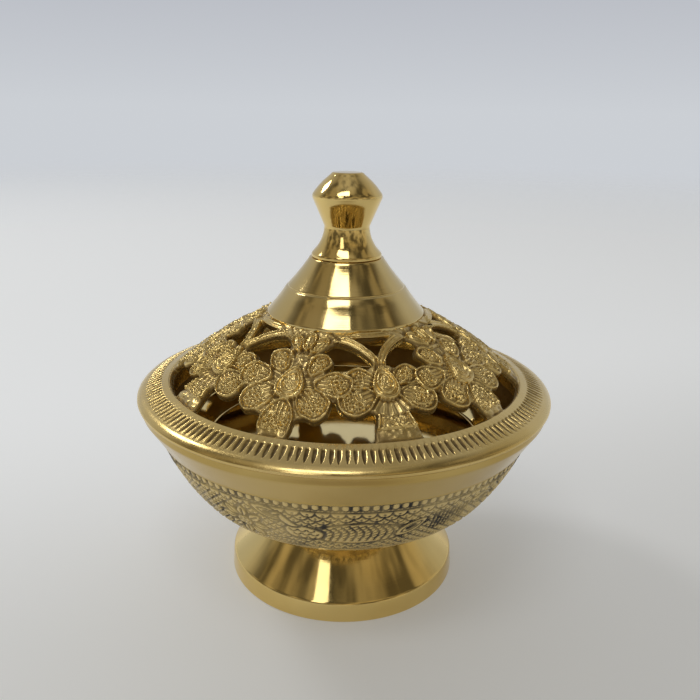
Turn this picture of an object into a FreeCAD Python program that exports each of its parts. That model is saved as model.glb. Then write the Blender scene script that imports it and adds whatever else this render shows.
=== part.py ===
"""Footed brass incense burner with a pierced, domed lid.

Millimetres, +Z up. The origin is the centre of the ring that the foot stands on.
Every size lives in the sheet called Sizes; sketches and placements read it by expression.
"""
import FreeCAD, Part
import math
import os
import re
import Sketcher

doc = FreeCAD.newDocument("IncenseBurner")

# ---------------------------------------------------------------- driving dimensions

SIZES = {
    # foot
    "foot_radius": 29.0,
    "foot_band_height": 4.6,
    "foot_neck_radius": 19.6,
    "foot_height": 16.0,
    "foot_flare_bend": 90.0,
    "foot_web": 3.0,
    "wall": 2.0,
    # bowl
    "bowl_floor_radius": 20.5,
    "bowl_belly_radius": 37.0,
    "bowl_belly_height": 25.6,
    "bowl_belly_bend": 28.0,
    "engraving_top_radius": 45.4,
    "engraving_top_height": 40.6,
    "engraving_bend": 50.0,
    "rim_radius": 49.2,
    "rim_height": 48.2,
    "ledge_height": 38.8,
    "ledge_inner_radius": 39.4,
    # loose charcoal dish
    "dish_radius": 41.9,
    "dish_floor_radius": 34.5,
    "dish_floor_height": 34.4,
    "dish_wall": 1.2,
    # pierced lid
    "brim_radius": 50.0,
    "brim_edge": 0.9,
    "milling_outer_radius": 48.2,
    "milling_outer_height": 50.4,
    "milling_inner_radius": 44.7,
    "milling_inner_height": 51.9,
    "collar_radius": 42.0,
    "collar_height": 52.5,
    "crown_radius": 20.2,
    "crown_height": 66.8,
    "dome_bend": 110.0,
    "dome_wall": 2.2,
    "locating_ring_depth": 3.0,
    "locating_ring_gap": 0.4,
    # vents, as radii and half angles about the middle of each gap
    "vents_around": 10,
    "upper_vent_inner": 22.6,
    "upper_vent_outer": 29.4,
    "upper_vent_inner_angle": 8.5,
    "upper_vent_outer_angle": 11.0,
    "lower_vent_inner": 37.6,
    "lower_vent_outer": 41.6,
    "lower_vent_inner_angle": 5.5,
    "lower_vent_outer_angle": 11.0,
    "crown_vent_inner": 20.6,
    "crown_vent_outer": 23.4,
    "crown_vent_inner_angle": 10.0,
    "crown_vent_outer_angle": 4.0,
    "first_gap_angle": -2.5,
    # spire
    "spire_foot_radius": 18.8,
    "spire_foot_edge": 1.2,
    "spire_top_radius": 8.7,
    "spire_top_height": 80.8,
    "spire_bend": 50.0,
    "groove_radius": 14.1,
    "groove_height": 74.0,
    "groove_width": 0.5,
    # finial knob
    "knob_ledge": 0.9,
    "knob_root_radius": 8.3,
    "knob_neck_radius": 5.3,
    "knob_neck_height": 88.0,
    "knob_flare_bend": 9.0,
    "knob_radius": 8.15,
    "knob_widest_height": 94.9,
    "knob_edge": 0.7,
    "knob_shoulder_radius": 4.2,
    "overall_height": 100.2,
    # fasteners, metric sizes
    "rod_radius": 2.0,
    "rod_clearance": 0.25,
    "rod_engagement": 8.0,
    "rod_length": 28.0,
    "lid_nut_flats": 7.0,
    "lid_nut_thickness": 3.2,
    "lid_washer_radius": 4.5,
    "lid_washer_thickness": 0.8,
    "bolt_radius": 2.5,
    "bolt_clearance": 0.3,
    "bolt_head_radius": 4.75,
    "bolt_head_height": 2.7,
    "bolt_length": 12.0,
    "bolt_slot_width": 1.2,
    "bolt_slot_depth": 1.3,
    "foot_nut_flats": 8.0,
    "foot_nut_thickness": 4.0,
    "foot_washer_radius": 5.0,
    "foot_washer_thickness": 1.0,
    "thread_gap": 0.02,
}

sheet = doc.addObject("Spreadsheet::Sheet", "Sizes")
for row, (word, number) in enumerate(SIZES.items(), start=1):
    sheet.set("A%d" % row, word)
    sheet.set("B%d" % row, str(number))
    sheet.setAlias("B%d" % row, word)
doc.recompute()

PARTS = []
LEAST_CUT = 1.0  # cubic millimetres that any pocket must take away


def cells(text):
    """Turn plain words into references to the sheet: 'wall * 2' -> 'Sizes.wall * 2'."""
    return re.sub("[a-z_]+", lambda found: "Sizes." * (found[0] in SIZES) + found[0], text)


def value(text):
    """The number that an expression of sheet words gives now."""
    return float(sheet.evalExpression(cells(text)))


def body(label):
    made = doc.addObject("PartDesign::Body", label)
    made.Label = label
    PARTS.append(made)
    return made


def sketch(owner, name, role):
    """A sketch on one of the body's own origin planes."""
    drawn = owner.newObject("Sketcher::SketchObject", name)
    plane = [item for item in owner.Origin.OriginFeatures if item.Role == role][0]
    drawn.AttachmentSupport = [(plane, "")]
    drawn.MapMode = "FlatFace"
    return drawn


def bind(drawn, constraint, text):
    number = drawn.addConstraint(constraint)
    drawn.setExpression("Constraints[%d]" % number, cells(text))


def arc_between(start, end, radius):
    """Arc of the given radius; a positive radius curves to the left of start -> end."""
    chord = end - start
    half = chord.Length / 2
    reach = math.sqrt(max(radius * radius - half * half, 0.0))
    left = FreeCAD.Vector(-chord.y, chord.x, 0).normalize()
    side = 1 if radius > 0 else -1
    centre = (start + end) / 2 + left * reach * side
    first, last = (start, end) if radius > 0 else (end, start)
    angles = [math.atan2(p.y - centre.y, p.x - centre.x) for p in (first, last)]
    if angles[1] < angles[0]:
        angles[1] += 2 * math.pi
    circle = Part.Circle(centre, FreeCAD.Vector(0, 0, 1), abs(radius))
    return Part.ArcOfCircle(circle, angles[0], angles[1])


def outline(drawn, corners):
    """Closed outline. A corner is (across, up) or (across, up, radius of the arc to the next)."""
    points = [FreeCAD.Vector(value(c[0]), value(c[1]), 0) for c in corners]
    ends = []
    for i, corner in enumerate(corners):
        start, end = points[i], points[(i + 1) % len(points)]
        if len(corner) == 3:
            bend = value(corner[2])
            edge = drawn.addGeometry(arc_between(start, end, bend), False)
            ends.append((edge, 1, 2) if bend > 0 else (edge, 2, 1))
            bind(drawn, Sketcher.Constraint("Radius", edge, abs(bend)), "abs(%s)" % corner[2])
        else:
            edge = drawn.addGeometry(Part.LineSegment(start, end), False)
            ends.append((edge, 1, 2))
    for i, (edge, start_point, _) in enumerate(ends):
        before, _, end_point = ends[i - 1]
        drawn.addConstraint(Sketcher.Constraint("Coincident", before, end_point, edge, start_point))
        for direction, axis, text, number in (("DistanceX", -2, corners[i][0], points[i].x),
                                              ("DistanceY", -1, corners[i][1], points[i].y)):
            if abs(number) < 1e-9:
                drawn.addConstraint(Sketcher.Constraint("PointOnObject", edge, start_point, axis))
            else:
                bind(drawn, Sketcher.Constraint(direction, -1, 1, edge, start_point, number), text)


def turned(label, corners):
    """A piece turned about Z from its half section."""
    made = body(label)
    section = sketch(made, label + "_section", "XZ_Plane")
    outline(section, corners)
    spin = made.newObject("PartDesign::Revolution", label + "_turned")
    spin.Profile = section
    spin.ReferenceAxis = (section, ["V_Axis"])
    spin.Angle = 360
    section.Visibility = False
    doc.recompute()
    made.Tip = spin
    return made


def hex_outline(drawn, flats):
    """Regular hexagon about the sketch's origin, two corners on its X axis."""
    corners = []
    for side in range(6):
        angle = 60 * side
        corners.append(("%s / sqrt(3) * cos(%d deg)" % (flats, angle),
                        "%s / sqrt(3) * sin(%d deg)" % (flats, angle)))
    outline(drawn, corners)


# ---------------------------------------------------------------- foot

BOLT_HOLE = "( bolt_radius + bolt_clearance )"
ROD_HOLE = "( rod_radius + rod_clearance )"
BOWL_FLOOR = "( foot_height + foot_web )"
WEB_UNDERSIDE = "( foot_height - foot_web )"

turned("foot", [
    ("foot_radius - wall * 1.5", "0"),
    ("foot_radius", "0"),
    ("foot_radius - wall / 5", "foot_band_height", "- foot_flare_bend"),
    ("foot_neck_radius", "foot_height - wall / 2"),
    ("foot_neck_radius", "foot_height"),
    (BOLT_HOLE, "foot_height"),
    (BOLT_HOLE, WEB_UNDERSIDE),
    ("foot_neck_radius - wall", WEB_UNDERSIDE, "foot_flare_bend + wall"),
    ("foot_radius - wall * 1.5", "foot_band_height / 2"),
])

# ---------------------------------------------------------------- bowl

turned("bowl", [
    (BOLT_HOLE, "foot_height"),
    ("foot_neck_radius + wall / 4", "foot_height"),
    ("bowl_floor_radius", "foot_height + wall / 2", "bowl_belly_bend"),
    ("bowl_belly_radius", "bowl_belly_height", "engraving_bend"),
    ("engraving_top_radius", "engraving_top_height"),
    ("rim_radius", "rim_height - wall * 0.8"),
    ("rim_radius", "rim_height"),
    ("rim_radius - wall * 1.4", "rim_height"),
    ("engraving_top_radius - wall", "engraving_top_height"),
    ("engraving_top_radius - wall * 1.3", "ledge_height"),
    ("ledge_inner_radius", "ledge_height"),
    ("ledge_inner_radius", "ledge_height - wall / 2"),
    ("ledge_inner_radius + wall * 0.6", "ledge_height - wall * 2", "- ( engraving_bend - wall )"),
    ("bowl_belly_radius - wall * 0.7", "bowl_belly_height + wall * 0.75", "- ( bowl_belly_bend - wall )"),
    ("bowl_floor_radius", BOWL_FLOOR),
    (BOLT_HOLE, BOWL_FLOOR),
])

# ---------------------------------------------------------------- loose charcoal dish

turned("charcoal_dish", [
    ("0", "dish_floor_height"),
    ("dish_floor_radius", "dish_floor_height"),
    ("ledge_inner_radius - dish_wall / 2", "ledge_height"),
    ("dish_radius", "ledge_height"),
    ("dish_radius", "ledge_height + dish_wall"),
    ("ledge_inner_radius - dish_wall", "ledge_height + dish_wall"),
    ("dish_floor_radius - dish_wall / 2", "dish_floor_height + dish_wall"),
    ("0", "dish_floor_height + dish_wall"),
])

# ---------------------------------------------------------------- pierced lid

RING_OUTER = "( rim_radius - wall * 1.4 - locating_ring_depth * 0.4 - locating_ring_gap )"
RING_BOTTOM = "( rim_height - locating_ring_depth )"

lid = turned("lid_dome", [
    (RING_OUTER + " - wall", RING_BOTTOM),
    (RING_OUTER, RING_BOTTOM),
    (RING_OUTER, "rim_height"),
    ("brim_radius - brim_edge / 2", "rim_height"),
    ("brim_radius", "rim_height + brim_edge / 2"),
    ("brim_radius", "rim_height + brim_edge", "brim_edge * 3"),
    ("milling_outer_radius", "milling_outer_height"),
    ("milling_inner_radius", "milling_inner_height"),
    ("collar_radius", "collar_height", "dome_bend"),
    ("crown_radius", "crown_height"),
    (ROD_HOLE, "crown_height"),
    (ROD_HOLE, "crown_height - dome_wall"),
    ("crown_radius - dome_wall * 0.7", "crown_height - dome_wall", "- ( dome_bend - dome_wall )"),
    ("collar_radius - dome_wall * 0.5", "collar_height - dome_wall * 0.85"),
    (RING_OUTER + " - wall", "rim_height"),
])


def on_circle(radius, angle):
    """Point at an angle from -Y towards +X, as a pair of expressions."""
    return "%s * sin( ( %s ) * 1 deg )" % (radius, angle), "- %s * cos( ( %s ) * 1 deg )" % (radius, angle)


def vents(name, inner, outer, inner_half, outer_half, middle, count):
    """Pierce a ring of identical openings straight down through the dome."""
    before = lid.Shape.Volume
    drawn = sketch(lid, name + "_outline", "XY_Plane")
    outline(drawn, [
        on_circle(outer, "%s - %s" % (middle, outer_half)) + (outer,),
        on_circle(outer, "%s + %s" % (middle, outer_half)),
        on_circle(inner, "%s + %s" % (middle, inner_half)) + ("- " + inner,),
        on_circle(inner, "%s - %s" % (middle, inner_half)),
    ])
    cut = lid.newObject("PartDesign::Pocket", name + "_first")
    cut.Profile = drawn
    cut.Type = "Length"
    cut.Reversed = True
    cut.setExpression("Length", cells("crown_height + dome_wall"))
    drawn.Visibility = False
    doc.recompute()
    around = lid.newObject("PartDesign::PolarPattern", name)
    around.Originals = [cut]
    around.Axis = (drawn, ["N_Axis"])
    around.Angle = 360
    around.setExpression("Occurrences", cells(count))
    lid.Tip = around
    doc.recompute()
    if lid.Shape.Volume > before - LEAST_CUT:
        raise RuntimeError(name + " cut nothing")


HALF_GAP = "180 / vents_around"

vents("upper_vents", "upper_vent_inner", "upper_vent_outer", "upper_vent_inner_angle",
      "upper_vent_outer_angle", "first_gap_angle", "vents_around")
vents("lower_vents", "lower_vent_inner", "lower_vent_outer", "lower_vent_inner_angle",
      "lower_vent_outer_angle", "first_gap_angle", "vents_around")
vents("crown_vents", "crown_vent_inner", "crown_vent_outer", "crown_vent_inner_angle",
      "crown_vent_outer_angle", "( first_gap_angle + %s )" % HALF_GAP, "vents_around / 2")

# ---------------------------------------------------------------- spire over the crown

turned("spire_cone", [
    ("spire_foot_radius - wall", "crown_height"),
    ("spire_foot_radius", "crown_height"),
    ("spire_foot_radius", "crown_height + spire_foot_edge", "- spire_bend"),
    ("groove_radius + groove_width / 2", "groove_height - groove_width / 2"),
    ("groove_radius - groove_width", "groove_height"),
    ("groove_radius - groove_width / 2", "groove_height + groove_width / 2", "- spire_bend"),
    ("spire_top_radius", "spire_top_height"),
    (ROD_HOLE, "spire_top_height"),
    (ROD_HOLE, "spire_top_height - wall"),
    ("spire_top_radius - wall", "spire_top_height - wall"),
    ("spire_foot_radius - wall * 1.5", "crown_height + wall"),
])

# ---------------------------------------------------------------- finial knob

ROD_TOP = "( spire_top_height + rod_engagement )"

turned("finial_knob", [
    ("rod_radius + thread_gap", "spire_top_height"),
    ("knob_root_radius", "spire_top_height"),
    ("knob_root_radius", "spire_top_height + knob_ledge", "- knob_flare_bend"),
    ("knob_neck_radius", "knob_neck_height"),
    ("knob_radius", "knob_widest_height - knob_edge / 2"),
    ("knob_radius", "knob_widest_height + knob_edge / 2", "knob_radius * 2"),
    ("knob_shoulder_radius", "overall_height - knob_edge"),
    ("knob_shoulder_radius - knob_edge", "overall_height"),
    ("0", "overall_height"),
    ("0", ROD_TOP + " + thread_gap"),
    ("rod_radius + thread_gap", ROD_TOP + " + thread_gap"),
])

# ---------------------------------------------------------------- fasteners

LID_WASHER_TOP = "( crown_height - dome_wall )"
LID_NUT_TOP = "( crown_height - dome_wall - lid_washer_thickness )"
FOOT_NUT_TOP = "( foot_height - foot_web - foot_washer_thickness )"


def washer(label, hole, radius, top, thickness):
    turned(label, [
        (hole, "%s - %s" % (top, thickness)),
        (radius, "%s - %s" % (top, thickness)),
        (radius, top),
        (hole, top),
    ])


def nut(label, flats, hole, top, thickness):
    """Hexagon nut with its upper face at the given height."""
    made = body(label)
    across = sketch(made, label + "_hexagon", "XY_Plane")
    hex_outline(across, flats)
    bore = across.addGeometry(Part.Circle(FreeCAD.Vector(0, 0, 0), FreeCAD.Vector(0, 0, 1),
                                          value(hole)), False)
    across.addConstraint(Sketcher.Constraint("Coincident", bore, 3, -1, 1))
    bind(across, Sketcher.Constraint("Radius", bore, value(hole)), hole)
    across.setExpression("AttachmentOffset.Base.z", cells("%s - %s" % (top, thickness)))
    block = made.newObject("PartDesign::Pad", label + "_block")
    block.Profile = across
    block.setExpression("Length", cells(thickness))
    across.Visibility = False
    doc.recompute()
    made.Tip = block


rod = doc.addObject("Part::Cylinder", "finial_rod")
rod.Label = "finial_rod"
rod.setExpression("Radius", cells("rod_radius"))
rod.setExpression("Height", cells("rod_length"))
rod.setExpression("Placement.Base.z", cells(ROD_TOP + " - rod_length"))
PARTS.append(rod)

washer("finial_washer", ROD_HOLE, "lid_washer_radius", LID_WASHER_TOP, "lid_washer_thickness")
nut("finial_nut", "lid_nut_flats", "( rod_radius + thread_gap )", LID_NUT_TOP, "lid_nut_thickness")

bolt = turned("foot_bolt", [
    ("0", BOWL_FLOOR + " - bolt_length"),
    ("bolt_radius", BOWL_FLOOR + " - bolt_length"),
    ("bolt_radius", BOWL_FLOOR),
    ("bolt_head_radius", BOWL_FLOOR),
    ("bolt_head_radius", BOWL_FLOOR + " + bolt_head_height / 2", "bolt_head_radius"),
    ("bolt_head_radius / 2", BOWL_FLOOR + " + bolt_head_height"),
    ("0", BOWL_FLOOR + " + bolt_head_height"),
])
slot = sketch(bolt, "foot_bolt_slot_outline", "XZ_Plane")
outline(slot, [
    ("- bolt_slot_width / 2", BOWL_FLOOR + " + bolt_head_height - bolt_slot_depth"),
    ("bolt_slot_width / 2", BOWL_FLOOR + " + bolt_head_height - bolt_slot_depth"),
    ("bolt_slot_width / 2", BOWL_FLOOR + " + bolt_head_height * 2"),
    ("- bolt_slot_width / 2", BOWL_FLOOR + " + bolt_head_height * 2"),
])
before_slot = bolt.Shape.Volume
slot_cut = bolt.newObject("PartDesign::Pocket", "foot_bolt_slot")
slot_cut.Profile = slot
slot_cut.Midplane = True
slot_cut.setExpression("Length", cells("bolt_head_radius * 3"))
slot.Visibility = False
doc.recompute()
bolt.Tip = slot_cut
if bolt.Shape.Volume > before_slot - LEAST_CUT:
    raise RuntimeError("the bolt slot cut nothing")

washer("foot_washer", BOLT_HOLE, "foot_washer_radius", WEB_UNDERSIDE, "foot_washer_thickness")
nut("foot_nut", "foot_nut_flats", "( bolt_radius + thread_gap )", FOOT_NUT_TOP, "foot_nut_thickness")

# ---------------------------------------------------------------- check and write

doc.recompute()
for item in doc.Objects:
    if "Invalid" in item.State or "Error" in item.State:
        raise RuntimeError("%s did not build: %s" % (item.Name, item.State))
for item in PARTS:
    shape = item.Shape
    if shape.isNull() or not shape.isValid() or not shape.Solids:
        raise RuntimeError("%s has no sound solid" % item.Label)

os.makedirs("parts", exist_ok=True)
for item in PARTS:
    item.Shape.exportStep("parts/%s.step" % item.Label)
    box = item.Shape.optimalBoundingBox()
    print("%-16s volume %9.1f  z %6.2f to %6.2f  radius %6.2f  solids %d" % (
        item.Label, item.Shape.Volume, box.ZMin, box.ZMax, box.XMax, len(item.Shape.Solids)))
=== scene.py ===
"""Looks of the footed brass incense burner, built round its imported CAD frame.

The mesh code works in millimetres and degrees, and Blender gets metres. A place on a turned piece is an
angle, measured from -Y (the front) towards +X, with a radius and a height. Outlines run anticlockwise in
the half section, so that the metal is on their left.
"""

import math

import bpy
import numpy as np
from mathutils import Matrix, Vector


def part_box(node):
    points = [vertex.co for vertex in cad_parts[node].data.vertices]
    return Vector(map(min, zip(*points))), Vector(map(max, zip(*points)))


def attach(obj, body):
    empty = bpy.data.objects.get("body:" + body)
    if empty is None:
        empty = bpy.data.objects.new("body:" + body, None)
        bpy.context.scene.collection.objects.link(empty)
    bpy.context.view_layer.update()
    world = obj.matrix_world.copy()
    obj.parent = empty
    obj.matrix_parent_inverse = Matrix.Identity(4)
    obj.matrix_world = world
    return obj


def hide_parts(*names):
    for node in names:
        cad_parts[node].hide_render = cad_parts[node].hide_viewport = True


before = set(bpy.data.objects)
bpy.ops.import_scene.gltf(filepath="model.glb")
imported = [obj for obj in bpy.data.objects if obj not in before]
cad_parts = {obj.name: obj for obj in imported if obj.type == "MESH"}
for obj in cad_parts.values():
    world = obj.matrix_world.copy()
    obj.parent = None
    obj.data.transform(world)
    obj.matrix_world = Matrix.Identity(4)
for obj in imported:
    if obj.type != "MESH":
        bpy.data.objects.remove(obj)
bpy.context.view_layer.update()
MM = 0.001


def bottom(node):
    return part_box(node)[0].z / MM


def top(node):
    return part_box(node)[1].z / MM


def reach(node):
    """Largest radius of a turned node."""
    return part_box(node)[1].x / MM


# ---- sizes, from the frame where it has them

WALL = 2.0
TURN_STEPS = 288  # round each plain turned piece
FOOT_RADIUS = reach("foot")
FOOT_BAND = 4.6
NECK_RADIUS = 19.6
FOOT_TOP = top("foot")
FOOT_BEND = 90.0
BOLT_HOLE = 2.8
ROD_RADIUS = reach("finial_rod")
ROD_HOLE = ROD_RADIUS + 0.25

BOWL_RIM = reach("bowl")
JOINT_HEIGHT = top("bowl")
BELLY = (37.0, 25.6)
BELLY_FOOT = (20.5, FOOT_TOP + WALL / 2)
BELLY_BEND = 28.0
ENGRAVING_TOP = (45.4, 40.6)
ENGRAVING_BEND = 50.0
ENGRAVING_LOW_RADIUS = 29.0
LEDGE_HEIGHT = 38.8
LEDGE_INNER = 39.4
SKIN = 0.45  # the engraved skin stands this far in front of the plain bowl behind it

BRIM_RADIUS = reach("lid_dome")
BRIM_EDGE = 0.9
MILLING_OUTER = (48.2, 50.4)
MILLING_INNER = (44.3, 52.0)
MILLING_CUTS = 181
COLLAR = (42.0, 52.5)
MOUTH_RADIUS = 42.3  # where the openings end against the brim
CROWN = (20.2, top("lid_dome"))
DOME_BEND = 110.0
DOME_WALL = 2.2
LEAF_WALL = 1.5

MOTIF_PAIRS = 5
FIRST_GAP = -2.5
PAIR_ANGLE = 360 / MOTIF_PAIRS
LOWER_MOTIF = FIRST_GAP + PAIR_ANGLE / 4
UPPER_MOTIF = FIRST_GAP + PAIR_ANGLE * 3 / 4
MOTIF_RADIUS = 31.5


# ---- small tools for numbers

def smooth(value, low, high):
    """0 below low, 1 above high, with a soft step between."""
    share = np.clip((value - low) / (high - low), 0, 1)
    return share * share * (3 - 2 * share)


def ridge(value, middle, width):
    """1 at the middle, falling to nothing over about two widths."""
    return np.exp(-((value - middle) / width) ** 2)


def noise(x, y, size, seed):
    """Smooth wandering value from -1 to 1, with features of the given size."""
    table = np.random.default_rng(seed).random((64, 64)) * 2 - 1
    across, up = x / size, y / size
    i, j = np.floor(across).astype(int), np.floor(up).astype(int)
    s, t = smooth(across - i, 0, 1), smooth(up - j, 0, 1)
    low = table[i % 64, j % 64] * (1 - s) + table[(i + 1) % 64, j % 64] * s
    high = table[i % 64, (j + 1) % 64] * (1 - s) + table[(i + 1) % 64, (j + 1) % 64] * s
    return low * (1 - t) + high * t


def grains(x, y, size, seed):
    """Distance to the nearest of many scattered dots, in units of their spacing."""
    jitter = np.random.default_rng(seed).random((64, 64, 2)) * 0.7 + 0.15
    across, up = x / size, y / size
    i0, j0 = np.floor(across).astype(int), np.floor(up).astype(int)
    nearest = np.full(np.shape(across), 9.0)
    for i in (i0 - 1, i0, i0 + 1):
        for j in (j0 - 1, j0, j0 + 1):
            dot = jitter[i % 64, j % 64]
            nearest = np.minimum(nearest, np.hypot(i + dot[..., 0] - across, j + dot[..., 1] - up))
    return nearest


def stroke(x, y, route):
    """Distance to an open line of points, and the share of the way along it."""
    nearest = np.full(np.shape(x), 1e3)
    progress = np.zeros(np.shape(x))
    for i, ((ax, ay), (bx, by)) in enumerate(zip(route, route[1:])):
        length2 = (bx - ax) ** 2 + (by - ay) ** 2
        share = np.clip(((x - ax) * (bx - ax) + (y - ay) * (by - ay)) / length2, 0, 1)
        gap = np.hypot(x - ax - share * (bx - ax), y - ay - share * (by - ay))
        closer = gap < nearest
        nearest = np.where(closer, gap, nearest)
        progress = np.where(closer, (i + share) / (len(route) - 1), progress)
    return nearest, progress


# ---- meshes

def added(name, data):
    """A new object in the scene."""
    made = bpy.data.objects.new(name, data)
    bpy.context.scene.collection.objects.link(made)
    return made


def piece(name, points, triangles, normals, material, body, stands_for, slot, **marks):
    """A Blender object from arrays, riding on a CAD body and standing for a CAD node."""
    mesh = bpy.data.meshes.new(name)
    mesh.vertices.add(len(points))
    mesh.vertices.foreach_set("co", (points * MM).ravel())
    mesh.loops.add(triangles.size)
    mesh.loops.foreach_set("vertex_index", triangles.ravel())
    mesh.polygons.add(len(triangles))
    mesh.polygons.foreach_set("loop_start", np.arange(0, triangles.size, 3))
    mesh.update(calc_edges=True)
    mesh.polygons.foreach_set("use_smooth", np.ones(len(triangles), bool))
    for mark, values in marks.items():
        layer = mesh.attributes.new(mark, "FLOAT", "POINT")
        layer.data.foreach_set("value", np.asarray(values, float))
    mesh.normals_split_custom_set_from_vertices(normals)
    mesh.materials.append(material)
    made = added(name, mesh)
    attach(made, body)
    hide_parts(stands_for)


def mesh_normals(points, triangles):
    a, b, c = (points[triangles[:, corner]] for corner in range(3))
    facing = np.cross(b - a, c - a)
    total = np.zeros_like(points)
    for corner in range(3):
        for axis in range(3):
            total[:, axis] += np.bincount(triangles[:, corner], facing[:, axis], len(points))
    return total / np.maximum(np.linalg.norm(total, axis=1, keepdims=True), 1e-12)


def only_used(triangles, *arrays):
    """Drops the points that no triangle uses."""
    used, renumbered = np.unique(triangles, return_inverse=True)
    return (renumbered.reshape(triangles.shape),) + tuple(array[used] for array in arrays)


def arc_points(start, end, bend, step):
    """Points from start up to end; a positive bend curves to the left of the way."""
    start, end = np.array(start, float), np.array(end, float)
    chord = np.linalg.norm(end - start)
    count = max(2, round(chord / step))
    share = np.arange(count)[:, None] / count
    if not bend:
        return start + (end - start) * share
    half = math.asin(chord / 2 / abs(bend))
    along = (end - start) / chord
    right = np.array([along[1], -along[0]]) * math.copysign(1, bend)
    turn = (share * 2 - 1) * half
    middle = (start + end) / 2 - right * abs(bend) * math.cos(half)
    return middle + abs(bend) * (np.sin(turn) * along + np.cos(turn) * right)


def outline(corners, soft=0.2, closed=True, step=0.05):
    """Dense outline with softened corners and its outward normals.

    A corner is (radius, height) or (radius, height, bend of the arc to the next corner).
    """
    sides = []
    for i, corner in enumerate(corners):
        if i + 1 < len(corners) or closed:
            bend = corner[2] if len(corner) > 2 else 0
            sides.append(arc_points(corner[:2], corners[(i + 1) % len(corners)][:2], bend, step))
    line = np.concatenate(sides + ([] if closed else [np.array([corners[-1][:2]], float)]))
    reach_of_blur = int(4 * soft / step) + 1
    blur = np.exp(-0.5 * (np.arange(-reach_of_blur, reach_of_blur + 1) * step / soft) ** 2)
    blur /= blur.sum()
    ends = ((reach_of_blur, reach_of_blur), (0, 0))
    padded = np.pad(line, ends, "wrap") if closed else np.pad(line, ends, "reflect", reflect_type="odd")
    line = np.stack([np.convolve(padded[:, axis], blur, "valid") for axis in (0, 1)], 1)
    if closed:
        way = np.roll(line, -1, 0) - np.roll(line, 1, 0)
    else:
        way = np.gradient(line, axis=0)
    way /= np.maximum(np.linalg.norm(way, axis=1, keepdims=True), 1e-12)
    return line, np.stack([way[:, 1], -way[:, 0]], 1)


def thinned(line, normals, longest=2.5, sharpest=5.0, fine=None, fine_step=0.2):
    """Keeps the points that the shape needs; where fine(radius, height) is true, one every fine_step."""
    keep = [0]
    for i in range(1, len(line)):
        gone = np.linalg.norm(line[i] - line[keep[-1]])
        turned = math.degrees(math.acos(np.clip(normals[i] @ normals[keep[-1]], -1, 1)))
        limit = fine_step if fine and fine(*line[i]) else longest
        if gone >= limit or turned >= sharpest or i == len(line) - 1:
            keep.append(i)
    return line[keep], normals[keep]


def around(angle, radius, height):
    """Points from angles in degrees, radii and heights, which broadcast together."""
    turn = np.radians(angle)
    places = np.broadcast_arrays(radius * np.sin(turn), -radius * np.cos(turn), height)
    return np.stack(places, -1).reshape(-1, 3)


def grid_cells(rows, columns):
    """The four corners of each cell of a grid whose points are numbered row by row."""
    first = np.arange((rows - 1) * columns).reshape(rows - 1, columns)[:, :-1].ravel()
    return first, first + 1, first + columns + 1, first + columns


def halves(a, b, c, d):
    """Two triangles for each cell, from its four corners."""
    cells = np.stack([a, b, c, a, c, d], -1).reshape(-1, 6)
    return np.concatenate([cells[:, :3], cells[:, 3:]])


def turned_mesh(line, normals, steps, closed=True, sink=None):
    """Turns an outline about Z. sink(angle, radius, height) pushes the surface in, in mm."""
    rows = len(line)
    angle = np.arange(steps) * 2 * math.pi / steps
    sine, cosine = np.sin(angle), np.cos(angle)
    push = np.zeros((rows, steps))
    if sink:
        push = push + sink(np.degrees(angle)[None, :], line[:, :1], line[:, 1:])
    radius = line[:, :1] - push * normals[:, :1]
    height = line[:, 1:] - push * normals[:, 1:]
    points = np.stack([radius * sine, -radius * cosine, height], 2).reshape(-1, 3)
    row = np.arange(rows if closed else rows - 1)[:, None] * steps
    next_row = (row + steps) % (rows * steps)
    column = np.arange(steps)
    next_column = (column + 1) % steps
    triangles = halves(row + column, row + next_column, next_row + next_column, next_row + column)
    number = np.arange(len(points))
    for end in () if closed else (0, rows - 1):  # an open outline ends on the axis, in a single point
        number[end * steps:(end + 1) * steps] = end * steps
    triangles = number[triangles]
    a, b, c = triangles.T
    triangles = triangles[(a != b) & (b != c) & (a != c)]
    if sink:
        return only_used(triangles, points, mesh_normals(points, triangles), push.ravel())
    level = np.repeat(normals[:, 1:], steps, 1)
    facing = np.stack([normals[:, :1] * sine, -normals[:, :1] * cosine, level], 2).reshape(-1, 3)
    return only_used(triangles, points, facing)


def turned_piece(name, corners, material, body, slot, soft=0.2, closed=True, stands_for=None):
    line, normals = thinned(*outline(corners, soft, closed))
    triangles, points, facing = turned_mesh(line, normals, TURN_STEPS, closed)
    piece(name, points, triangles, facing, material, body, stands_for or name, slot)


# ---- materials

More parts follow.
